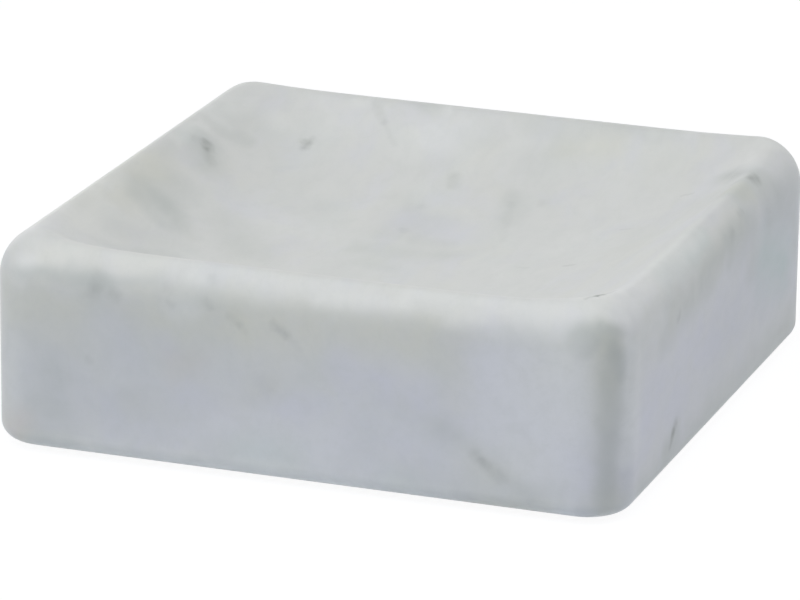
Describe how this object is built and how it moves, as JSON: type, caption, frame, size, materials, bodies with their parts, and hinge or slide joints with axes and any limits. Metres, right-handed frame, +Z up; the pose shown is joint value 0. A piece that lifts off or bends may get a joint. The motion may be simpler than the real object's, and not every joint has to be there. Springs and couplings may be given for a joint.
{
  "type": "soap dish",
  "caption": "Square stone soap dish: a thick block with rolled edges and a shallow bowl sunk into its top, standing on thin round pads. Holds a bar of soap.",
  "frame": {"origin": "centre of the square footprint, on the surface that the pads stand on", "axes": "+Z up out of the bowl, -Y towards the front face that the picture shows on the left, +X towards the face on its right"},
  "size_m": [0.12, 0.12, 0.0402],
  "materials": {
    "marble": "honed, cool white with faint grey clouds, specks and hairline veins",
    "pad_rubber": "matt"
  },
  "bodies": {
    "root": {"dish_body": "marble", "pad_front_left": "pad_rubber", "pad_front_right": "pad_rubber", "pad_back_left": "pad_rubber", "pad_back_right": "pad_rubber"}
  },
  "joints": []
}
